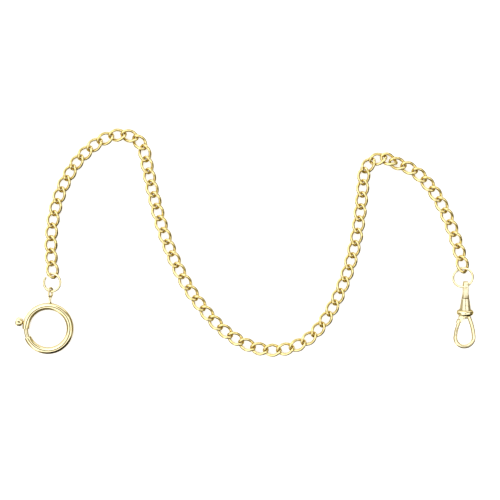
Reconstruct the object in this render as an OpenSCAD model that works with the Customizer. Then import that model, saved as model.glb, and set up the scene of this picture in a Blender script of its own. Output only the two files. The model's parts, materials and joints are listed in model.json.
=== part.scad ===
// Pocket watch chain: 68 twisted curb links laid out in a wave,
// with a bolt ring at one end and a swivel dog clip at the other.
// The chain lies on the plane z = 0, and the origin is under the middle of its outline.

/* [Chain links] */
// Diameter of the round wire of a link
wire_d = 1.0; // [0.9:0.05:1.0]
// Length of a link, measured between the wire's centres
link_len = 5.7; // [5.65:0.05:5.8]
// Width of a link, measured between the wire's centres
link_w = 3.7; // [3.6:0.02:3.8]
// Angle to which each end of a link is twisted out of its plane
link_twist = 45; // [42:1:48]
// Height of the links' middle above the plane
link_z = 1.2; // [1.2:0.01:1.3]

/* [Bolt ring] */
// Outer diameter of the bolt ring
ring_d = 18; // [17.5:0.1:18.5]
// Outer diameter of the ring's tube
tube_d = 2.4; // [2.3:0.05:2.5]
// Bore of the ring's tube
tube_bore = 1.6; // [1.55:0.05:1.7]
// Diameter of the bolt that slides in the tube
bolt_d = 1.4; // [1.3:0.05:1.45]
// Angle at which the mouth of the ring starts
mouth_start = 181; // [180:1:182]
// Angle at which the mouth of the ring ends
mouth_end = 203; // [202:1:204]
// Angle of the thumb knob with the bolt shut
knob_angle = 167; // [165:1:168]
// Largest diameter of the thumb knob
knob_d = 3.0; // [2.6:0.1:3.2]

/* [Jump rings] */
// Diameter of the jump rings' wire
jump_wire_d = 0.8; // [0.7:0.02:0.84]
// Open jump ring at the bolt ring, diameter between wire centres
open_jump_d = 6.2; // [6.1:0.05:6.4]
// Round jump ring at the dog clip, diameter between wire centres
round_jump_d = 6.96; // [6.8:0.05:7.1]

/* [Dog clip] */
// Outer diameter of the collar
collar_d = 5.9; // [5.6:0.1:6.0]
// Diameter of the barrel where it meets the collar
barrel_d = 4.0; // [3.8:0.05:4.2]
// Diameter of the barrel at the swivel end
barrel_tip_d = 2.7; // [2.6:0.05:2.9]
// Diameter of the hook's wire
hook_wire_d = 1.3; // [1.2:0.02:1.4]
// Radius of the hook's round bottom, to the wire's centre
hook_r = 3.25; // [3.2:0.01:3.3]
// Slope of the clip, which rests on its collar and on the hook's tip
clip_tilt = 10; // [9:0.5:11]

/* [Hidden] */
gold = "gold";
steel = "silver";
fine = 48;

// Shift that brings the middle of the laid chain to the origin
shift = [1.245, 0.583];

// ---- route of the chain ----
link_count = 68;
pair_count = link_count / 2;
wire_r = wire_d / 2;

// Two laid stretches: [number of joints, turn at each joint, distance between links]
first_start = [-69.3, -10.1] + shift;
first_heading = 97.5;
first_stretch = [
    [4, -4.2, 4.45], [4, -5.2, 4.4], [3, -7.7, 4.4], [1, -12.4, 4.45], [1, -16.8, 4.45],
    [1, -23.5, 4.4], [1, -33.6, 4.4], [1, -30.1, 4.35], [5, 0.8, 4.25], [5, 2.3, 4.4],
    [5, 3.6, 4.5], [3, 7.4, 4.55], [3, 11.6, 4.6], [3, 13.2, 4.6], [2, 5.9, 4.55],
    [3, 3.1, 4.45], [4, 2.6, 4.4], [4, 0.9, 4.3]
];
last_start = [52.4, 27.3] + shift;
last_heading = -18.1;
last_stretch = [[1, -7, 4.4], [1, -17.9, 4.4], [3, -6.8, 4.4], [2, -3.3, 4.45], [3, -2.4, 4.45]];

// Three links bunched up between the stretches: [x, y, z, heading, pitch, roll]
bunch = [
    [42, 26.7, 1.35, 50, -2, -7],
    [45.45, 28.9, 1.55, 13, -2, -13],
    [49.3, 28.65, 1.55, -25, 0, -20]
];

// ---- bolt ring ----
tube_r = tube_d / 2;
ring_r = (ring_d - tube_d) / 2;
ring_at = [-70.86 + shift.x, -30.84 + shift.y, tube_r];
bolt_tail = 152;            // angle of the bolt's shoulder, shut
bolt_tip = 208;             // angle of the bolt's tip, shut
bolt_travel = 29;
slot_start = knob_angle - bolt_travel - 6;
slot_end = knob_angle + 4;
slot_w = 0.9;
knob_neck_d = 0.8;
knob_w = 2.2;               // the knob is flattened to this height
knob_tang_d = 0.5;
guide_d = 0.4;              // wire behind the bolt, inside the spring
guide_start = 127;
stop_start = 90;
stop_end = 95;
spring_end = bolt_tail - bolt_travel - 1;
spring_wire_d = 0.22;
spring_d = 1.0;
spring_turns = 8;
eye_angle = 86;             // where the eye stands on the ring
eye_reach = 12.74;          // from the ring's centre to the eye's centre
eye_wire_d = 0.7;
eye_r = 0.98;               // round ends of the eye, to the wire's centre
eye_straight = 1.2;
eye_roll = 60;              // turn of the eye about its post
post_d = 1.0;

// ---- jump rings ----
jump_r = jump_wire_d / 2;
open_jump_at = [-69.4 + shift.x, -14.66 + shift.y, 1.3];
open_jump_gap = 16;
open_jump_gap_at = 134;
open_jump_tilt = [-3.5, -15.7];  // about X and about Y
round_jump_at = [75.26 + shift.x, -12.86 + shift.y, 2.32];
round_jump_tilt = [-22, -16.6];

// ---- dog clip, along its own axis from the collar's middle ----
collar_r = collar_d / 2;
collar_w = 1.9;
clip_at = [75.93 + shift.x, -25.13 + shift.y, collar_r + 0.02];
barrel_foot = 0.95;
barrel_top = 5.15;
barrel_wall = 0.6;
shank_d = 0.9;
shank_clear = 0.07;
foot_top = 7.7;
foot_gap = 0.1;
foot_d = 2.7;
loop_r = 2.2;
loop_hole_r = 1.6;
loop_w = 1.76;
loop_at = 9.0;
washer_d = 1.9;
washer_w = 0.45;
stem_d = 1.8;
hook_at = -9.05;            // centre of the hook's round bottom
side_r = 22;                // radius of the hook's sides
side_tangent = 5;           // angle at which the bottom turns into a side
side_top = 25.2;            // angle at which a side meets the shoulder
hook_wire_r = hook_wire_d / 2;
pivot = [-1.35, -1.75];     // gate's hinge
shoulder_y = -1.55;
knuckle_r = 0.8;
boss_r = 0.88;
boss_w = 1.5;
side_overlap = 0.25;        // angle by which the wire's stretches run into each other
knuckle_w = 0.5;
fork_gap = 0.6;
pin_d = 0.5;
lap_top = 13.6;             // angles on the side where the gate's end laps the hook's tip
lap_foot = 6.6;
lap_gap = 0.9;
lap_split = 0.03;           // half the gap between the two halves of the lap
gate_top = 20.2;            // angle at which the gate's wire meets its knuckle plate
lever_len = 1.5;
lever_w = 1.3;
gate_wire_r = hook_wire_r - 0.05;
pocket_r = 0.34;
pocket_len = 1.1;

function two_digits(n) = n < 10 ? str("0", n) : str(n);
function pair_name(k) = str("links_", two_digits(2 * k - 1), "_", two_digits(2 * k));

// ---- laying out the chain ----
function dir(a) = [cos(a), sin(a)];
function turns(runs) = [for (r = runs, i = [1 : r[0]]) r[1]];
function gaps(runs) = [for (r = runs, i = [1 : r[0]]) r[2]];
function headings(runs, heading) =
    let (t = turns(runs))
    [for (i = 0, h = heading; i <= len(t); h = h + (i < len(t) ? t[i] : 0), i = i + 1) h];

// Poses [x, y, z, heading, pitch, roll] of the links of a stretch
function laid(runs, start, heading) =
    let (h = headings(runs, heading), g = gaps(runs), n = len(g))
    [for (i = 0, c = start; i <= n;
          c = c + (i < n ? g[i] / 2 * (dir(h[i]) + dir(h[i + 1])) : [0, 0]), i = i + 1)
        [c.x, c.y, link_z, h[i], 0, 0]];
bunched = [for (p = bunch) [p[0] + shift.x, p[1] + shift.y, p[2], p[3], p[4], p[5]]];
poses = concat(laid(first_stretch, first_start, first_heading), bunched,
               laid(last_stretch, last_start, last_heading));

module at_pose(p) {
    translate([p[0], p[1], p[2]]) rotate([p[5], p[4], p[3]]) children();
}

// ---- tube swept along a list of points ----
function unit(v) = v / norm(v);
function ring_points(p, along, out, r, sides) =
    let (n = unit(out - (out * along) * along), b = cross(along, n))
    [for (j = [0 : sides - 1]) p + r * (cos(360 * j / sides) * n + sin(360 * j / sides) * b)];
function side_faces(rings, sides, i, i2) =
    [for (j = [0 : sides - 1]) let (j2 = (j + 1) % sides)
        each [[i * sides + j, i2 * sides + j, i2 * sides + j2],
              [i * sides + j, i2 * sides + j2, i * sides + j2]]];

module closed_tube(points, r, sides) {
    n = len(points);
    rings = [for (i = [0 : n - 1])
        let (along = unit(points[(i + 1) % n] - points[(i + n - 1) % n]))
        each ring_points(points[i], along, points[i], r, sides)];
    polyhedron(rings, [for (i = [0 : n - 1]) each side_faces(n, sides, i, (i + 1) % n)], convexity = 6);
}

// ---- chain ----
function link_point(t) =
    let (twist = -link_twist * cos(t), side = link_w / 2 * sin(t))
    [link_len / 2 * cos(t), side * cos(twist), side * sin(twist)];
link_rings = 16;
link_sides = 8;

module curb_link() {
    closed_tube([for (i = [0 : link_rings - 1]) link_point(360 * i / link_rings)], wire_r, link_sides);
}

module link_pair(k) {
    color(gold) for (i = [2 * k - 2, 2 * k - 1]) at_pose(poses[i]) curb_link();
}

// ---- bolt ring, drawn about its own centre ----
module arc_rod(from, to, path_r, r) {
    rotate([0, 0, from]) rotate_extrude(angle = to - from, $fn = fine * 2)
        translate([path_r, 0]) circle(r, $fn = fine);
}

module bolt_ring_tube() {
    color(gold) translate(ring_at) difference() {
        rotate([0, 0, mouth_end]) rotate_extrude(angle = 360 + mouth_start - mouth_end, $fn = fine * 2)
            translate([ring_r, 0]) difference() {
                circle(tube_r, $fn = fine);
                circle(tube_bore / 2, $fn = fine);
            }
        rotate([0, 0, slot_start]) rotate_extrude(angle = slot_end - slot_start, $fn = fine * 2)
            translate([ring_r + bolt_d / 4, -slot_w / 2]) square([tube_r, slot_w]);
    }
}

module bolt_ring_eye() {
    color(gold) translate(ring_at) rotate([0, 0, eye_angle]) translate([eye_reach, 0, 0]) {
        rotate([eye_roll, 0, 0]) {
            for (end = [0, 180]) rotate([0, 0, end]) translate([eye_straight / 2, 0, 0])
                arc_rod(-90, 90, eye_r, eye_wire_d / 2);
            for (side = [-1, 1]) translate([-eye_straight / 2, side * eye_r, 0]) rotate([0, 90, 0])
                cylinder(eye_straight, d = eye_wire_d, $fn = fine);
        }
        translate([ring_r + tube_r - 0.2 - eye_reach, 0, 0]) rotate([0, 90, 0])
            cylinder(eye_reach - ring_r - tube_r + 0.2 - eye_straight / 2 - eye_r, d = post_d, $fn = fine);
    }
}

module bolt_spring_stop() {
    color(steel) translate(ring_at) arc_rod(stop_start, stop_end, ring_r, tube_bore / 2 - 0.03);
}

function spring_path(n) = [for (i = [0 : n])
    let (a = stop_end + 1 + (spring_end - stop_end - 1) * i / n, w = 360 * spring_turns * i / n,
         r = ring_r + spring_d / 2 * cos(w))
    [r * cos(a), r * sin(a), spring_d / 2 * sin(w)]];

module open_tube(points, r, sides) {
    n = len(points);
    rings = [for (i = [0 : n - 1])
        let (along = unit(points[min(i + 1, n - 1)] - points[max(i - 1, 0)]))
        each ring_points(points[i], along, [0, 0, 1], r, sides)];
    polyhedron(rings, concat(
        [for (i = [0 : n - 2]) each side_faces(n, sides, i, i + 1)],
        [[for (j = [0 : sides - 1]) j], [for (j = [sides - 1 : -1 : 0]) (n - 1) * sides + j]]),
        convexity = 6);
}

module bolt_spring() {
    color(steel) translate(ring_at) open_tube(spring_path(spring_turns * 12), spring_wire_d / 2, 5);
}

module bolt() {
    color(gold) translate(ring_at) difference() {
        union() {
            arc_rod(bolt_tail, bolt_tip, ring_r, bolt_d / 2);
            arc_rod(guide_start, bolt_tail + 1, ring_r, guide_d / 2);
        }
        rotate([0, 0, knob_angle]) translate([ring_r, 0, 0]) rotate([0, 90, 0])
            cylinder(bolt_d, d = knob_tang_d, $fn = fine);
    }
}

// Turned about the line from the ring's centre: tang, neck, flange, flared head and dome
module bolt_thumb_knob() {
    foot = ring_r + bolt_d / 2 + 0.02;
    head = ring_r + tube_r + 0.25;
    tip = head + 2.45;
    color(gold) translate(ring_at) rotate([0, 0, knob_angle]) intersection() {
        rotate([0, 90, 0]) rotate_extrude($fn = fine)
            polygon(concat([[0, ring_r + 0.1], [knob_tang_d / 2, ring_r + 0.1], [knob_tang_d / 2, foot],
                [knob_neck_d / 2, foot], [knob_neck_d / 2, head], [0.85, head], [1.0, head + 0.3],
                [1.1, head + 0.7], [knob_d / 2 - 0.06, head + 1.25], [knob_d / 2, head + 1.6]],
                [for (a = [15 : 15 : 90])
                    [knob_d / 2 * cos(a), head + 1.6 + (tip - head - 1.6) * sin(a)]]));
        translate([ring_r, -knob_d, -knob_w / 2]) cube([tip, 2 * knob_d, knob_w]);
    }
}

// ---- jump rings ----
module open_jump_ring() {
    color(gold) translate(open_jump_at) rotate([open_jump_tilt.x, 0, 0]) rotate([0, open_jump_tilt.y, 0])
        arc_rod(open_jump_gap_at + open_jump_gap / 2, open_jump_gap_at - open_jump_gap / 2 + 360,
            open_jump_d / 2, jump_r);
}

module round_jump_ring() {
    color(gold) translate(round_jump_at) rotate([round_jump_tilt.x, 0, 0]) rotate([0, round_jump_tilt.y, 0])
        rotate_extrude($fn = fine * 2) translate([round_jump_d / 2, 0]) circle(jump_r, $fn = fine);
}

// ---- dog clip: +Y runs from the collar to the swivel, -Y to the hook ----
module clip_frame() {
    translate(clip_at) rotate([clip_tilt, 0, 0]) children();
}

module turned(profile) {
    rotate([-90, 0, 0]) rotate_extrude($fn = fine) polygon(profile);
}

module swivel_eye() {
    shank_foot = barrel_top - barrel_wall - washer_w - 0.3;
    color(gold) clip_frame() {
        difference() {
            union() {
                translate([-loop_w / 2, loop_at, 0]) rotate([0, 90, 0])
                    cylinder(loop_w, r = loop_r, $fn = fine);
                turned([[0, barrel_top + foot_gap], [foot_d / 2, barrel_top + foot_gap],
                    [foot_d / 2, barrel_top + 0.5], [loop_w / 2, foot_top], [0, foot_top]]);
            }
            translate([-foot_d, loop_at, 0]) rotate([0, 90, 0])
                cylinder(2 * foot_d, r = loop_hole_r, $fn = fine);
        }
        translate([0, shank_foot, 0]) rotate([-90, 0, 0])
            cylinder(barrel_top + 0.3 - shank_foot, d = shank_d, $fn = fine);
    }
}

module swivel_washer() {
    top = barrel_top - barrel_wall - 0.08;
    color(steel) clip_frame() turned([[shank_d / 2, top - washer_w], [washer_d / 2, top - washer_w],
        [washer_d / 2, top], [shank_d / 2, top]]);
}

module swivel_barrel() {
    bore = shank_d / 2 + shank_clear;
    color(gold) clip_frame() turned([[bore, barrel_top], [barrel_tip_d / 2, barrel_top],
        [barrel_d / 2, barrel_foot], [stem_d / 2, barrel_foot], [stem_d / 2, barrel_foot + 0.9],
        [barrel_tip_d / 2 - 0.3, barrel_top - barrel_wall], [bore, barrel_top - barrel_wall]]);
}

module clip_collar() {
    round_r = collar_w / 2;
    color(gold) clip_frame() turned(concat([[stem_d / 2, -round_r], [collar_r - round_r, -round_r]],
        [for (a = [-75 : 15 : 75]) [collar_r - round_r + round_r * cos(a), round_r * sin(a)]],
        [[collar_r - round_r, round_r], [stem_d / 2, round_r]]));
}

// One side of the hook, as an arc about a far centre
module hook_side(from, to) {
    reach = side_r - hook_r;
    translate([-reach * cos(side_tangent), hook_at - reach * sin(side_tangent), 0])
        rotate([0, 0, from]) rotate_extrude(angle = to - from, $fn = fine * 2)
            translate([side_r, 0]) children();
}

// Round section cut in half: side 1 keeps the outer half, -1 the inner half
module half_section(r, side) {
    intersection() {
        circle(r, $fn = fine);
        translate([side > 0 ? lap_split : -2 * r - lap_split, -2 * r]) square([2 * r, 4 * r]);
    }
}

module hook_frame() {
    color(gold) clip_frame() difference() {
        union() {
            turned([[0, -1.6], [stem_d / 2, -1.6], [stem_d / 2, barrel_foot + 0.85],
                [0, barrel_foot + 0.85]]);
            translate([pivot.x, shoulder_y, 0]) rotate([0, 90, 0])
                cylinder(1.25 - pivot.x, r = hook_wire_r, $fn = fine);
            translate([pivot.x, pivot.y, -boss_w / 2]) cylinder(boss_w, r = boss_r, $fn = fine);
            translate([1.25, shoulder_y, 0]) sphere(hook_wire_r, $fn = fine);
            hook_side(side_tangent - side_overlap, side_top) circle(hook_wire_r - 0.005, $fn = fine);
            translate([0, hook_at, 0]) arc_rod(-180 - side_tangent, side_tangent, hook_r, hook_wire_r);
            mirror([1, 0, 0]) hook_side(side_tangent - side_overlap, lap_foot)
                circle(hook_wire_r - 0.005, $fn = fine);
            mirror([1, 0, 0]) hook_side(lap_foot - side_overlap, lap_top)
                half_section(hook_wire_r - 0.01, 1);
        }
        translate([pivot.x - 2, pivot.y - knuckle_r - 0.1, -fork_gap / 2])
            cube([2 + knuckle_r + 0.1, 2 * knuckle_r + 0.1, fork_gap]);
        translate([pivot.x, pivot.y, -hook_wire_d]) cylinder(2 * hook_wire_d, d = pin_d, $fn = fine);
        translate([pivot.x + knuckle_r, pivot.y, 0]) rotate([0, 90, 0])
            cylinder(pocket_len, r = pocket_r, $fn = fine);
    }
}

module gate() {
    color(gold) clip_frame() difference() {
        union() {
            translate([pivot.x, pivot.y, -knuckle_w / 2]) cylinder(knuckle_w, r = knuckle_r, $fn = fine);
            mirror([1, 0, 0]) hook_side(lap_top + lap_gap, gate_top) circle(gate_wire_r, $fn = fine);
            mirror([1, 0, 0]) hook_side(lap_foot + lap_gap, lap_top + lap_gap + side_overlap)
                half_section(gate_wire_r - 0.005, -1);
            translate([pivot.x - 0.95, pivot.y - 1.9, -knuckle_w / 2]) cube([1.2, 1.9, knuckle_w]);
            translate([pivot.x - 1.15, pivot.y - 0.55, -lever_w / 2]) rotate([0, 0, -110])
                cube([lever_len, 0.8, lever_w]);
        }
        translate([pivot.x, pivot.y, -hook_wire_d])
            cylinder(2 * hook_wire_d, d = pin_d + 0.1, $fn = fine);
    }
}

module gate_pin() {
    color(steel) clip_frame() translate([pivot.x, pivot.y, -boss_w / 2 - 0.05])
        cylinder(boss_w + 0.1, d = pin_d, $fn = fine);
}

module gate_spring() {
    turns = 5;
    coil = [for (i = [0 : turns * 10])
        [(pocket_len - 0.2) * i / (turns * 10), 0.2 * cos(36 * i), 0.2 * sin(36 * i)]];
    color(steel) clip_frame() translate([pivot.x + knuckle_r + 0.1, pivot.y, 0]) open_tube(coil, 0.06, 5);
}

for (k = [1 : pair_count]) link_pair(k);
bolt_ring_tube();
bolt_ring_eye();
bolt_spring_stop();
bolt_spring();
bolt();
bolt_thumb_knob();
open_jump_ring();
round_jump_ring();
swivel_eye();
swivel_washer();
swivel_barrel();
clip_collar();
hook_frame();
gate();
gate_pin();
gate_spring();
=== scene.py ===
"""Looks for the pocket watch chain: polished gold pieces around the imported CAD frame."""

import json
import math

import bmesh
import bpy
import numpy as np
from mathutils import Matrix, Vector


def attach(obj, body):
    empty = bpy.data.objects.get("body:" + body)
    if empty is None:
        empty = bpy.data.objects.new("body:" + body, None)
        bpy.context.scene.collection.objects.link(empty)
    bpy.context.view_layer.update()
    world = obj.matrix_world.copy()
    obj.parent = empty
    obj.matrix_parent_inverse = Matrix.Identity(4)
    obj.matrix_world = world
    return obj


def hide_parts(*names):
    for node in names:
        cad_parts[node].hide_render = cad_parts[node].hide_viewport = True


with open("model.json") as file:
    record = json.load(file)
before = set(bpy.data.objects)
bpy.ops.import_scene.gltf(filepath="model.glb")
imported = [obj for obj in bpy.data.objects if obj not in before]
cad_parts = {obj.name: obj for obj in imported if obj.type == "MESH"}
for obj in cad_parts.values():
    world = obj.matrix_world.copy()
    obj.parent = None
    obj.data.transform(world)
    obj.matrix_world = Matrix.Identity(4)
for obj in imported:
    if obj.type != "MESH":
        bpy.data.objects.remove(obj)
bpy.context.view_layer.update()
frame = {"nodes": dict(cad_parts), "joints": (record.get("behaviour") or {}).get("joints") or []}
joints = {j["name"]: j for j in frame["joints"]}
TAU = 2 * math.pi
VOXEL = 0.05    # millimetres, the grid in which overlapping shapes are joined


# ---- mesh tools; pieces are drawn in millimetres and scaled to metres at the end ----
def mesh_object(name, verts, faces):
    mesh = bpy.data.meshes.new(name)
    mesh.from_pydata([tuple(v) for v in verts], [], faces)
    bm = bmesh.new()
    bm.from_mesh(mesh)
    bmesh.ops.recalc_face_normals(bm, faces=bm.faces)
    bm.to_mesh(mesh)
    bm.free()
    mesh.polygons.foreach_set("use_smooth", [True] * len(mesh.polygons))
    mesh.set_sharp_from_angle(angle=math.radians(40))
    made = bpy.data.objects.new(name, mesh)
    bpy.context.scene.collection.objects.link(made)
    return made


def skin(rings, closed=False):
    """Vertices and faces of the surface through a list of equal rings of points."""
    rings = np.asarray(rings, float)
    n, m = rings.shape[:2]
    faces = []
    for i in range(n if closed else n - 1):
        k = (i + 1) % n
        for j in range(m):
            j2 = (j + 1) % m
            faces.append((i * m + j, k * m + j, k * m + j2, i * m + j2))
    if not closed:
        faces.append(tuple(range(m)))
        faces.append(tuple((n - 1) * m + j for j in reversed(range(m))))
    return rings.reshape(-1, 3), faces


def sweep(path, section, closed=False, up=(0, 0, 1), ends=0.1):
    """A section of points (outward, up) swept along a path. Open ends get rounded rims."""
    path, section = np.asarray(path, float), np.asarray(section, float)
    if closed:
        along = np.roll(path, -1, 0) - np.roll(path, 1, 0)
    else:
        along = np.gradient(path, axis=0)
    along /= np.linalg.norm(along, axis=1)[:, None]
    side = np.cross(along, np.asarray(up, float))
    side /= np.linalg.norm(side, axis=1)[:, None]
    top = np.cross(side, along)
    middle = section.mean(0)

    def ring(i, shrink=1.0, ahead=0.0):
        s = middle + (section - middle) * shrink
        return path[i] + along[i] * ahead + s[:, :1] * side[i] + s[:, 1:] * top[i]

    rings = [ring(i) for i in range(len(path))]
    if not closed:
        reach = np.abs(section - middle).max()
        rim = [(1 - ends / reach * (1 - math.cos(b)), ends * math.sin(b))
               for b in np.radians([84, 64, 42, 20])]
        rings = [ring(0, s, -d) for s, d in rim] + rings + [ring(-1, s, d) for s, d in reversed(rim)]
    return skin(rings, closed)


def disc(r, sides=32):
    """A round section."""
    a = np.linspace(0, TAU, sides, endpoint=False)
    return np.c_[r * np.cos(a), r * np.sin(a)]


def half_disc(r, side, gap=0.05):
    """Half of a round section, on one side (1) or the other (-1), set back from the cut by a gap."""
    a = np.radians(np.linspace(-84, 84, 15))
    return np.c_[side * (gap + (r - gap) * np.cos(a)), r * np.sin(a)]


def arc(r, start, stop, steps, centre=(0, 0)):
    """Points of an arc in the plane z = 0, between two angles in degrees."""
    a = np.radians(np.linspace(start, stop, steps))
    return np.c_[centre[0] + r * np.cos(a), centre[1] + r * np.sin(a), 0 * a]


def turned(profile, closed=False, segments=72):
    """A turned shape about the Y axis from points (radius, y). A closed profile leaves a bore."""
    profile = np.asarray(profile, float)
    a = np.linspace(0, TAU, segments, endpoint=False)
    return skin(np.stack([profile[:, :1] * np.cos(a), np.repeat(profile[:, 1:], segments, 1),
                          profile[:, :1] * np.sin(a)], -1), closed)


def rounded(profile, radius, steps=5):
    """Rounds the corners of an open profile of points (radius, y)."""
    p = [np.asarray(q, float) for q in profile]
    out = [p[0]]
    for before, corner, after in zip(p, p[1:], p[2:]):
        u, v = before - corner, after - corner
        lu, lv = np.linalg.norm(u), np.linalg.norm(v)
        cut = min(radius, lu * 0.45, lv * 0.45)
        s, e = corner + u / lu * cut, corner + v / lv * cut
        for t in np.linspace(0, 1, steps):
            out.append((1 - t) ** 2 * s + 2 * t * (1 - t) * corner + t * t * e)
    out.append(p[-1])
    return out


def block(low, high):
    """A box between two opposite corners, for use in joined()."""
    v = [(x, y, z) for x in (low[0], high[0]) for y in (low[1], high[1]) for z in (low[2], high[2])]
    return v, [(0, 1, 3, 2), (4, 6, 7, 5), (0, 4, 5, 1), (2, 3, 7, 6), (0, 2, 6, 4), (1, 5, 7, 3)]


def moved(part, matrix):
    """Vertices and faces turned and moved by a matrix."""
    m = np.array(matrix)
    return np.asarray(part[0]) @ m[:3, :3].T + m[:3, 3], part[1]


def placed(made, matrix):
    """Turns and moves a piece drawn in millimetres, then scales it to metres."""
    made.data.transform(Matrix.Scale(0.001, 4) @ matrix)
    return made


def joined(name, parts, smooth=6):
    """One solid out of overlapping closed shapes, with soft blended edges."""
    verts, faces = [], []
    for v, f in parts:
        faces.extend(tuple(i + len(verts) for i in q) for q in f)
        verts.extend(v)
    made = mesh_object(name, verts, faces)
    remesh = made.modifiers.new("Union", "REMESH")
    remesh.mode = "VOXEL"
    remesh.voxel_size = VOXEL
    soften = made.modifiers.new("Soften", "SMOOTH")
    soften.factor = 0.5
    soften.iterations = smooth
    graph = bpy.context.evaluated_depsgraph_get()
    made.data = bpy.data.meshes.new_from_object(made.evaluated_get(graph))
    made.modifiers.clear()
    made.data.polygons.foreach_set("use_smooth", [True] * len(made.data.polygons))
    return made


# ---- materials ----
def polished(name, colour, deep, corner, rim, rough, wave_scale=900.0, wave=0.10):
    """Polished metal: soft waves of hand polishing, fine scratches, smudges that change how rough it is,
    patches of a deeper colour, painted shade and painted gold-on-gold reflection in a darker corner colour
    where pieces meet, and a tint at the rims."""
    patch_scale, smudge_scale, scratch_scale = 420.0, 2600.0, 5200.0
    # The first reach is how far the ambient occlusion looks for the painted shade where pieces meet
    painted_shade_reach, wave_height, scratch_height = 0.0009, 0.0003, 0.00004     # metres
    mat = bpy.data.materials.new(name)
    mat.use_nodes = True
    nodes, links = mat.node_tree.nodes, mat.node_tree.links
    shader = nodes["Principled BSDF"]
    shader.inputs["Metallic"].default_value = 1.0
    shader.inputs["Specular Tint"].default_value = (*rim, 1)
    place = nodes.new("ShaderNodeTexCoord")

    def noise(scale, detail, stretch=(1, 1, 1)):
        mapping = nodes.new("ShaderNodeMapping")
        mapping.inputs["Scale"].default_value = stretch
        links.new(place.outputs["Object"], mapping.inputs["Vector"])
        made = nodes.new("ShaderNodeTexNoise")
        made.inputs["Scale"].default_value = scale
        made.inputs["Detail"].default_value = detail
        links.new(mapping.outputs["Vector"], made.inputs["Vector"])
        return made.outputs["Fac"]

    def ranged(value, low, high, to_low, to_high):
        made = nodes.new("ShaderNodeMapRange")
        made.inputs["From Min"].default_value = low
        made.inputs["From Max"].default_value = high
        made.inputs["To Min"].default_value = to_low
        made.inputs["To Max"].default_value = to_high
        links.new(value, made.inputs["Value"])
        return made.outputs["Result"]

    def mixed(factor, first, second):
        made = nodes.new("ShaderNodeMix")
        made.data_type = "RGBA"
        links.new(factor, made.inputs["Factor"])
        for socket, value in (("A", first), ("B", second)):
            target = [s for s in made.inputs if s.name == socket and s.type == "RGBA"][0]
            if isinstance(value, tuple):
                target.default_value = value
            else:
                links.new(value, target)
        return [s for s in made.outputs if s.type == "RGBA"][0]

    patchy = mixed(ranged(noise(patch_scale, 3.0), 0.35, 0.7, 0.0, 0.45), (*colour, 1), (*deep, 1))
    # Painted shade and painted reflection: where ambient occlusion finds metal close by, the base colour
    # turns to the darker, warmer corner colour, in place of the shade and gold-on-gold reflections between
    # touching pieces
    painted_shade_occlusion = nodes.new("ShaderNodeAmbientOcclusion")
    painted_shade_occlusion.inputs["Distance"].default_value = painted_shade_reach
    painted_shade_occlusion.samples = 8
    tone = mixed(ranged(painted_shade_occlusion.outputs["AO"], 0.12, 0.80, 0.95, 0.0), patchy, (*corner, 1))
    links.new(tone, shader.inputs["Base Color"])
    smudged = ranged(noise(smudge_scale, 4.0), 0.3, 0.75, rough * 0.7, rough * 1.7)
    links.new(smudged, shader.inputs["Roughness"])
    waves = nodes.new("ShaderNodeBump")
    waves.inputs["Strength"].default_value = wave
    waves.inputs["Distance"].default_value = wave_height
    links.new(noise(wave_scale, 1.5), waves.inputs["Height"])
    scratches = nodes.new("ShaderNodeBump")
    scratches.inputs["Strength"].default_value = 0.05
    scratches.inputs["Distance"].default_value = scratch_height
    links.new(noise(scratch_scale, 5.0, (1.0, 6.0, 2.0)), scratches.inputs["Height"])
    links.new(waves.outputs["Normal"], scratches.inputs["Normal"])
    links.new(scratches.outputs["Normal"], shader.inputs["Normal"])
    return mat


# The third colour of each material is the painted shade and painted reflection colour for hollows and joins
# between pieces
satin_gold = polished("satin_gold", (0.97, 0.91, 0.68), (0.87, 0.73, 0.40), (0.70, 0.52, 0.20),
                      (0.34, 0.27, 0.11), 0.30, 500.0, 0.05)
chain_gold = polished("chain_gold", (0.94, 0.82, 0.43), (0.80, 0.61, 0.15), (0.42, 0.26, 0.03),
                      (0.20, 0.14, 0.04), 0.05, 900.0, 0.12)
clasp_gold = polished("clasp_gold", (0.95, 0.87, 0.58), (0.84, 0.68, 0.30), (0.58, 0.40, 0.12),
                      (0.34, 0.27, 0.11), 0.06, 500.0, 0.06)
spring_steel = polished("spring_steel", (0.66, 0.66, 0.64), (0.42, 0.41, 0.39), (0.3, 0.29, 0.27),
                        (0.4, 0.4, 0.4), 0.22)


def finished(made, body, slot, material, *nodes):
    """Gives a piece its material and its body, and hides the CAD nodes that it replaces; the slot argument is
    not used.
    """
    made.data.materials.clear()
    made.data.materials.append(material)
    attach(made, body)
    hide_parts(*nodes)
    return made


# ---- chain links ----
LINK_LEN, LINK_W, LINK_TWIST, WIRE = 5.7, 3.7, math.radians(45), 1.0
SEAMS = (1.52, 1.61, 4.66, 4.75)    # angles of the solder seam round a link, in radians, one per variant
SEAM_BULGE, SEAM_GROOVE = (0.012, 0.06), (0.035, 0.012)     # share of the radius, and reach in radians
WELD = 2e-7                         # metres; closer vertices of a CAD mesh become one


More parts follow.
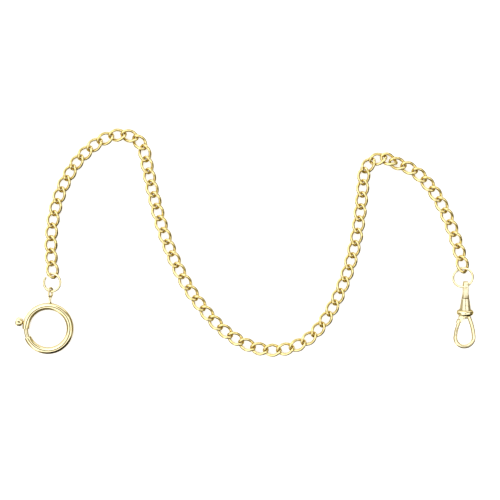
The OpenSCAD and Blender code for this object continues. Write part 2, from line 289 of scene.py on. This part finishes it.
def link_parts(seam):
    """A twisted curb link with a soldered seam on one side."""
    t = np.unique(np.round(np.concatenate([np.linspace(0, TAU, 64, endpoint=False),
                                           seam + np.linspace(-0.09, 0.09, 13)]) % TAU, 6))
    twist = -LINK_TWIST * np.cos(t)
    side = LINK_W / 2 * np.sin(t)
    path = np.c_[LINK_LEN / 2 * np.cos(t), side * np.cos(twist), side * np.sin(twist)]
    along = np.roll(path, -1, 0) - np.roll(path, 1, 0)
    along /= np.linalg.norm(along, axis=1)[:, None]
    out = path - (path * along).sum(1)[:, None] * along
    out /= np.linalg.norm(out, axis=1)[:, None]
    face = np.cross(along, out)
    away = (t - seam + math.pi) % TAU - math.pi
    bulge, groove = (share * np.exp(-(away / reach) ** 2) for share, reach in (SEAM_BULGE, SEAM_GROOVE))
    r = WIRE / 2 * (1 + bulge - groove)
    a = np.linspace(0, TAU, 24, endpoint=False)
    return skin(path[:, None] + r[:, None, None] * (
        np.cos(a)[None, :, None] * out[:, None] + np.sin(a)[None, :, None] * face[:, None]), closed=True)


link_meshes = []
for k, seam in enumerate(SEAMS):
    pattern = mesh_object(f"link_pattern_{k}", *link_parts(seam))
    placed(pattern, Matrix.Identity(4))
    pattern.data.materials.append(chain_gold)
    link_meshes.append(pattern.data)
    bpy.data.objects.remove(pattern)


def link_places(node):
    """Places of the two links of a CAD node, from its two separate solids."""
    bm = bmesh.new()
    bm.from_mesh(frame["nodes"][node].data)
    bmesh.ops.remove_doubles(bm, verts=bm.verts, dist=WELD)
    seen, places = set(), []
    for start in bm.verts:
        if start in seen:
            continue
        seen.add(start)
        group, todo = [], [start]
        while todo:
            v = todo.pop()
            group.append(v.co[:])
            for edge in v.link_edges:
                other = edge.other_vert(v)
                if other not in seen:
                    seen.add(other)
                    todo.append(other)
        points = np.array(group)
        centre = points.mean(0)
        axes = np.linalg.svd(points - centre, full_matrices=False)[2]
        if np.linalg.det(axes) < 0:
            axes[2] *= -1
        places.append(Matrix(np.vstack([np.c_[axes.T, centre], [0, 0, 0, 1]]).tolist()))
    bm.free()
    return places


# Links are numbered from the bolt ring on: of a node's two, the first is nearer to the link before it.
# The seam variants come in an irregular order.
previous = Vector(joints["bolt_slide"]["pos_m"])
for node in sorted(n for n in frame["nodes"] if n.startswith("links_")):
    first = int(node[6:8])
    places = sorted(link_places(node), key=lambda m: (m.translation - previous).length)
    for i, place in enumerate(places):
        link = bpy.data.objects.new(f"link_{first + i:02d}", link_meshes[(first + i) * 7 // 3 % len(SEAMS)])
        bpy.context.scene.collection.objects.link(link)
        link.matrix_world = place
        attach(link, node)
        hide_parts(node)
    previous = places[-1].translation

# ---- bolt ring, about its own centre ----
ring_frame = Matrix.Translation(Vector(joints["bolt_slide"]["pos_m"]) * 1000)
RING_R, TUBE_R, BORE_R, BOLT_R, LIP_R = 7.8, 1.2, 0.8, 0.7, 0.2
# Angles are degrees round the ring from +X; the tube runs from the second of MOUTH to the first
MOUTH, SLOT, SLOT_HALF = (181 + 360, 203), (132 + 360, 171 + 360), 0.45
TUBE_SIDES = 48
BOLT_SPAN = (153, 206.2)    # where the bolt has its full thickness
KNOB_ANGLE, KNOB_FLAT = 167, 0.73
EYE_ANGLE, EYE_REACH, EYE_R, EYE_HALF, EYE_WIRE_R, EYE_ROLL = 86, 12.74, 0.98, 0.6, 0.355, 60


def tube_ring(angle, r):
    """Points round the tube at an angle of the ring, with edges at the slot's two sides."""
    slot = math.asin(min(SLOT_HALF / r, 0.9))
    a = np.concatenate([[0], np.linspace(slot, TAU - slot, TUBE_SIDES - 1)])
    out = RING_R + r * np.cos(a)
    w = math.radians(angle)
    return np.c_[out * math.cos(w), out * math.sin(w), r * np.sin(a)]


def slotted_tube():
    """The hollow tube with rounded lips at its mouth and the slot for the knob, as one closed surface:
    the outside, the lip at one end, the bore, and the lip at the other end."""
    lip = math.degrees(LIP_R / RING_R)
    angles = np.unique(np.concatenate([np.linspace(MOUTH[1] + lip, MOUTH[0] - lip, 240), SLOT]))
    n, sides = len(angles), TUBE_SIDES
    turn = np.radians(np.linspace(0, 180, 8)[1:-1])
    mid = (TUBE_R + BORE_R) / 2
    rings = [tube_ring(w, TUBE_R) for w in angles]
    rings += [tube_ring(angles[-1] + lip * math.sin(t), mid + LIP_R * math.cos(t)) for t in turn]
    rings += [tube_ring(w, BORE_R) for w in angles[::-1]]
    rings += [tube_ring(angles[0] - lip * math.sin(t), mid - LIP_R * math.cos(t)) for t in turn]
    verts, faces = skin(rings, closed=True)
    first, last = (int(np.argmin(abs(angles - s))) for s in SLOT)
    inside = 2 * n + len(turn) - 1

    def at(k, j, inner):
        return ((inside - k) if inner else k) * sides + j % sides

    cut = {k for k in range(first, last)} | {inside - k - 1 for k in range(first, last)}
    faces = [f for i, f in enumerate(faces) if not (i // sides in cut and i % sides in (0, sides - 1))]
    for k in range(first, last):
        for j in (1, -1):
            faces.append((at(k, j, 0), at(k + 1, j, 0), at(k + 1, j, 1), at(k, j, 1)))
    for k in (first, last):
        for j in (-1, 0):
            faces.append((at(k, j, 0), at(k, j + 1, 0), at(k, j + 1, 1), at(k, j, 1)))
    return verts, faces


def bolt_rod():
    """The bolt with its rounded tip, its shoulder and the thin guide behind it."""
    turn = np.radians([12, 30, 50, 70, 84])
    steps = [(127, 0.1), (127.4, 0.2), (151.6, 0.2), (151.8, 0.55), (152.2, 0.66)]
    steps += [(w, BOLT_R) for w in np.linspace(*BOLT_SPAN, 60)]
    steps += [(BOLT_SPAN[1] + 1.8 * math.sin(t), BOLT_R - 0.25 * (1 - math.cos(t))) for t in turn]
    a = np.linspace(0, TAU, 40, endpoint=False)
    rings = []
    for w, r in steps:
        out, w = RING_R + r * np.cos(a), math.radians(w)
        rings.append(np.c_[out * math.cos(w), out * math.sin(w), r * np.sin(a)])
    return skin(rings)


def outward(angle):
    """Turns a piece drawn along Y to stand out of the ring at an angle."""
    return Matrix.Rotation(math.radians(angle - 90), 4, "Z")


finished(placed(mesh_object("ring_tube", *slotted_tube()), ring_frame), "bolt_ring", "clasp_gold",
         clasp_gold, "bolt_ring_tube")
finished(placed(mesh_object("sliding_bolt", *bolt_rod()), ring_frame), "bolt", "clasp_gold", clasp_gold,
         "bolt")

knob_profile = [(0.02, 7.9), (0.25, 7.9), (0.25, 8.52), (0.4, 8.56), (0.41, 9.05), (0.72, 9.2), (1.15, 9.36),
                (1.38, 9.75), (1.46, 10.3), (1.48, 10.9), (1.4, 11.3), (1.1, 11.58), (0.6, 11.69),
                (0.02, 11.7)]
knob = mesh_object("thumb_knob", *turned(rounded(knob_profile, 0.3)))
finished(placed(knob, ring_frame @ outward(KNOB_ANGLE) @ Matrix.Diagonal((1, 1, KNOB_FLAT, 1))), "bolt",
         "clasp_gold", clasp_gold, "bolt_thumb_knob")

loop_path = np.concatenate([arc(EYE_R, 0, 180, 30, (0, EYE_HALF)), arc(EYE_R, 180, 360, 30, (0, -EYE_HALF))])
loop = moved(sweep(loop_path, disc(EYE_WIRE_R, 24), closed=True),
             Matrix.Rotation(math.radians(EYE_ROLL), 4, "Y"))
post = turned(rounded([(0.02, 8.88), (0.72, 8.88), (0.62, 9.06), (0.44, 9.5), (0.42, 10.4), (0.52, 11.0),
                       (0.3, 11.3), (0.02, 11.35)], 0.3), segments=40)
eye = joined("ring_eye", [moved(loop, Matrix.Translation((0, EYE_REACH, 0))), post])
finished(placed(eye, ring_frame @ outward(EYE_ANGLE)), "bolt_ring", "clasp_gold", clasp_gold, "bolt_ring_eye")


# ---- jump rings ----
# Places are x, y and z in millimetres and then the tilts about X and Y in degrees
JUMP_WIRE_R, OPEN_R, ROUND_R = 0.4, 3.1, 3.48
OPEN_PLACE = (-68.155, -14.077, 1.3, -3.5, -15.7)
ROUND_PLACE = (76.505, -12.277, 2.32, -22, -16.6)
OPEN_FROM, OPEN_TO = 143, 485   # degrees between which the open ring's wire runs


def tilted(x, y, z, about_x, about_y):
    """A place, turned about Y and then about X by degrees."""
    return (Matrix.Translation((x, y, z)) @ Matrix.Rotation(math.radians(about_x), 4, "X")
            @ Matrix.Rotation(math.radians(about_y), 4, "Y"))


opened = mesh_object("open_ring", *sweep(arc(OPEN_R, OPEN_FROM, OPEN_TO, 120), disc(JUMP_WIRE_R)))
finished(placed(opened, tilted(*OPEN_PLACE)), "open_jump_ring", "clasp_gold", clasp_gold,
         "open_jump_ring")
whole = mesh_object("round_ring", *sweep(arc(ROUND_R, 0, 357, 120), disc(JUMP_WIRE_R), closed=True))
finished(placed(whole, tilted(*ROUND_PLACE)), "round_jump_ring", "clasp_gold", clasp_gold,
         "round_jump_ring")

# ---- dog clip: +Y runs from the collar to the swivel, -Y to the hook ----
BARREL_TOP, COLLAR_MID_R, COLLAR_TUBE_R, STEM_BORE_R = 5.15, 2.0, 0.95, 0.9
clip_y = Vector(joints["clip_swivel"]["axis"]).normalized()
clip_z = Vector(joints["gate_open"]["axis"]).normalized()
clip_x = clip_y.cross(clip_z)
clip_at = Vector(joints["clip_swivel"]["pos_m"]) * 1000 - clip_y * BARREL_TOP
clip_frame = Matrix([[clip_x[i], clip_y[i], clip_z[i], clip_at[i]] for i in range(3)] + [[0, 0, 0, 1]])


def clip_piece(made, body, material, *nodes):
    """Sets a piece in the clip's place and finishes it."""
    return finished(placed(made, clip_frame), body, "clasp_gold", material, *nodes)


barrel = turned(rounded([(0.52, 4.55), (0.52, BARREL_TOP), (1.34, BARREL_TOP), (1.42, 4.75), (1.68, 3.0),
                         (1.9, 1.6), (COLLAR_MID_R, COLLAR_TUBE_R), (STEM_BORE_R, COLLAR_TUBE_R),
                         (STEM_BORE_R, 1.85), (1.05, 4.55), (0.52, 4.55)], 0.1), closed=True)
clip_piece(mesh_object("barrel", *barrel), "dog_clip", satin_gold, "swivel_barrel")
bulge = arc(COLLAR_TUBE_R, -84, 84, 25, (COLLAR_MID_R, 0))[:, :2]
collar = turned([(STEM_BORE_R, -COLLAR_TUBE_R), *bulge, (STEM_BORE_R, COLLAR_TUBE_R)], closed=True,
                segments=96)
clip_piece(mesh_object("collar", *collar), "dog_clip", clasp_gold, "clip_collar")

# Strap of the swivel: a flat band bent over the jump ring, and both its legs end in the flared foot
STRAP_AT, STRAP_R, STRAP_HALF_THICK, STRAP_HALF_WIDE, SQUARENESS = 9, 1.9, 0.3, 0.86, 0.6
bend = np.radians(np.linspace(-8, 184, 40))
strap = np.concatenate([
    [(0, 5.6, -1.2), (0, 7.4, -1.7)],
    np.c_[0 * bend, STRAP_AT + STRAP_R * np.sin(bend), -STRAP_R * np.cos(bend)],
    [(0, 7.4, 1.78), (0, 6.4, 1.66), (0, 5.6, 1.5)]])
circle = disc(1.0)
band = np.sign(circle) * np.abs(circle) ** SQUARENESS * (STRAP_HALF_THICK, STRAP_HALF_WIDE)
swivel = joined("swivel_strap", [
    sweep(strap, band, up=(1, 0, 0)),
    turned(rounded([(0.02, 5.26), (1.34, 5.26), (1.36, 5.6), (1.16, 6.5), (0.8, 7.35), (0.02, 7.5)], 0.2)),
    turned([(0.02, 3.85), (0.44, 3.85), (0.44, 5.4), (0.02, 5.4)], segments=32)])
clip_piece(swivel, "swivel_eye", satin_gold, "swivel_eye")

HOOK_R, HOOK_AT, SIDE_R, HOOK_WIRE_R = 3.25, -9.05, 22.0, 0.65
PIVOT = (-1.35, -1.75)
SIDE_START = 5      # degrees up the round bottom where a side begins
# The centre of the left side's arc; the right side's is its mirror image
far = ((SIDE_R - HOOK_R) * math.cos(math.radians(SIDE_START)),
       HOOK_AT - (SIDE_R - HOOK_R) * math.sin(math.radians(SIDE_START)))


def left_side(start, stop):
    """A stretch of the hook's left side, between two of its angles."""
    return arc(SIDE_R, 180 - start, 180 - stop, max(8, int((stop - start) * 4)), far)


right = arc(SIDE_R, 25.2, SIDE_START, 60, (-far[0], far[1]))
bottom = arc(HOOK_R, SIDE_START, -180 - SIDE_START, 90, (0, HOOK_AT))
shoulder = [(x, -1.55, 0) for x in np.linspace(-0.25, 1.05, 10)]
top_bend = [(1.17, -1.5, 0)]
hook_path = np.concatenate([shoulder, top_bend, right[4:], bottom[1:], left_side(5.2, 6.6)])
on_pivot = Matrix.Translation((*PIVOT, 0)) @ Matrix.Rotation(math.pi / 2, 4, "X")
cheeks = [moved(turned(rounded([(0.02, low), (0.86, low), (0.86, low + 0.45), (0.02, low + 0.45)], 0.1),
                       segments=48), on_pivot) for low in (-0.76, 0.31)]
arms = [block((-1.3, -2.05, low), (-0.05, -1.05, low + 0.32)) for low in (-0.63, 0.31)]
hook_parts = [sweep(hook_path, disc(HOOK_WIRE_R)), *cheeks, *arms,
              sweep(left_side(6.3, 13.6), half_disc(HOOK_WIRE_R, -1), ends=0.06),
              turned([(0.02, -1.5), (0.86, -1.5), (0.86, 1.8), (0.02, 1.8)], segments=48)]
clip_piece(joined("hook", hook_parts, smooth=3), "dog_clip", clasp_gold, "hook_frame")

# The gate's thumb lever: a leaf that slopes down and out from the knuckle, with five grip ridges
leaf = moved(block((0, 0, -0.62), (1.45, 0.8, 0.62)), Matrix.Translation((PIVOT[0] - 1.2, PIVOT[1] - 0.63, 0))
             @ Matrix.Rotation(math.radians(-110), 4, "Z"))
ridges = [moved(turned([(0.02, -0.6), (0.1, -0.6), (0.1, 0.6), (0.02, 0.6)], segments=12),
                Matrix.Translation((PIVOT[0] - 1.16 - 0.36 * t, PIVOT[1] - 0.6 - t, 0))
                @ Matrix.Rotation(math.pi / 2, 4, "X")) for t in np.linspace(0.1, 1.3, 5)]
gate_parts = [moved(turned([(0.02, -0.25), (0.8, -0.25), (0.8, 0.25), (0.02, 0.25)], segments=48), on_pivot),
              sweep(left_side(14.6, 19.8), disc(0.6)),
              sweep(left_side(7.5, 14.8), half_disc(0.595, 1), ends=0.06),
              block((PIVOT[0] - 0.95, PIVOT[1] - 1.9, -0.25), (PIVOT[0] + 0.25, PIVOT[1], 0.25)),
              leaf, *ridges]
clip_piece(joined("sprung_gate", gate_parts, smooth=3), "gate", clasp_gold, "gate")

# ---- CAD nodes that show as they are: steel parts inside, and the plated pin ----
for name in ("bolt_spring_stop", "bolt_spring", "swivel_washer", "gate_pin", "gate_spring"):
    frame["nodes"][name].data.materials.clear()
    frame["nodes"][name].data.materials.append(clasp_gold if name == "gate_pin" else spring_steel)

# ---- floor, light and camera ----
floor = mesh_object("floor", [(-2, -2, 0), (2, -2, 0), (2, 2, 0), (-2, 2, 0)], [(0, 1, 2, 3)])
floor.location.z = -0.00004   # level with the lowest link
floor.visible_glossy = False
paper = bpy.data.materials.new("white_paper")
paper.use_nodes = True
surface = paper.node_tree.nodes["Principled BSDF"]
surface.inputs["Base Color"].default_value = (0.93, 0.93, 0.925, 1)
surface.inputs["Emission Color"].default_value = (1, 1, 1, 1)
surface.inputs["Emission Strength"].default_value = 0.48
surface.inputs["Roughness"].default_value = 0.9
surface.inputs["Specular IOR Level"].default_value = 0.1
floor.data.materials.append(paper)

scene = bpy.context.scene
scene.view_settings.view_transform = "Standard"
world = bpy.data.worlds.new("light_tent")
scene.world = world
world.use_nodes = True
world_nodes, world_links = world.node_tree.nodes, world.node_tree.links
back = world_nodes["Background"]
where = world_nodes.new("ShaderNodeTexCoord")


def facing(azimuth, elevation, low, high, to_low, to_high):
    """A soft patch of the tent round one direction: from to_low outside it to to_high in its middle.
    The limits low and high are cosines of the angle from that direction."""
    a, e = math.radians(azimuth), math.radians(elevation)
    dot = world_nodes.new("ShaderNodeVectorMath")
    dot.operation = "DOT_PRODUCT"
    dot.inputs[1].default_value = (math.cos(a) * math.cos(e), math.sin(a) * math.cos(e), math.sin(e))
    world_links.new(where.outputs["Generated"], dot.inputs[0])
    made = world_nodes.new("ShaderNodeMapRange")
    made.interpolation_type = "SMOOTHSTEP"
    for socket, value in (("From Min", low), ("From Max", high), ("To Min", to_low), ("To Max", to_high)):
        made.inputs[socket].default_value = value
    world_links.new(dot.outputs["Value"], made.inputs["Value"])
    return made.outputs["Result"]


def times(first, second):
    made = world_nodes.new("ShaderNodeMath")
    made.operation = "MULTIPLY"
    world_links.new(first, made.inputs[0])
    if isinstance(second, float):
        made.inputs[1].default_value = second
    else:
        world_links.new(second, made.inputs[1])
    return made.outputs["Value"]


# The tent: white, with a dark gap low in front, dimmer sides, back and underside and a dark hole overhead
TENT_STRENGTH = 1.48
front_gap = facing(292, -4, 0.52, 0.76, 1.0, 0.01)
right_side = facing(12, -2, 0.74, 0.90, 1.0, 0.14)
left_side_gap = facing(196, -2, 0.78, 0.92, 1.0, 0.20)
hole = facing(284, 86, 0.955, 0.980, 1.0, 0.05)
back_gap = facing(55, 36, 0.925, 0.965, 1.0, 0.20)
under = facing(0, -90, -0.05, 0.7, 1.0, 0.62)
lit = times(times(times(times(times(front_gap, right_side), left_side_gap), hole), back_gap), under)
world_links.new(times(lit, TENT_STRENGTH), back.inputs["Strength"])
# The dimmer a part of the tent, the warmer its colour
tone = world_nodes.new("ShaderNodeMix")
tone.data_type = "RGBA"
world_links.new(lit, tone.inputs["Factor"])
dark_tone, light_tone = [s for s in tone.inputs if s.type == "RGBA"]
dark_tone.default_value = (1.0, 0.82, 0.36, 1)
light_tone.default_value = (1.0, 0.995, 0.985, 1)
world_links.new([s for s in tone.outputs if s.type == "RGBA"][0], back.inputs["Color"])

lamp = bpy.data.lights.new("softbox", "AREA")
lamp.shape = "DISK"
lamp.size = 0.35
lamp.energy = 0.25
lamp.color = (1.0, 0.99, 0.96)
lamp_object = bpy.data.objects.new("softbox", lamp)
lamp_object.location = (-0.25, 0.3, 0.55)
lamp_object.rotation_euler = (-lamp_object.location).to_track_quat("-Z", "Y").to_euler()
scene.collection.objects.link(lamp_object)

camera_data = bpy.data.cameras.new("camera")
LENS, SENSOR = 120, 36
VIEW_WIDTH, VIEW_MIDDLE = 0.176, (0.0016, -0.0026, 0.002)   # metres
camera_data.lens = LENS
camera_data.sensor_width = SENSOR
camera = bpy.data.objects.new("camera", camera_data)
camera.location = (*VIEW_MIDDLE[:2], VIEW_WIDTH / SENSOR * LENS + VIEW_MIDDLE[2])
camera_data.clip_start = 0.01
camera_data.clip_end = 20
scene.collection.objects.link(camera)
scene.camera = camera
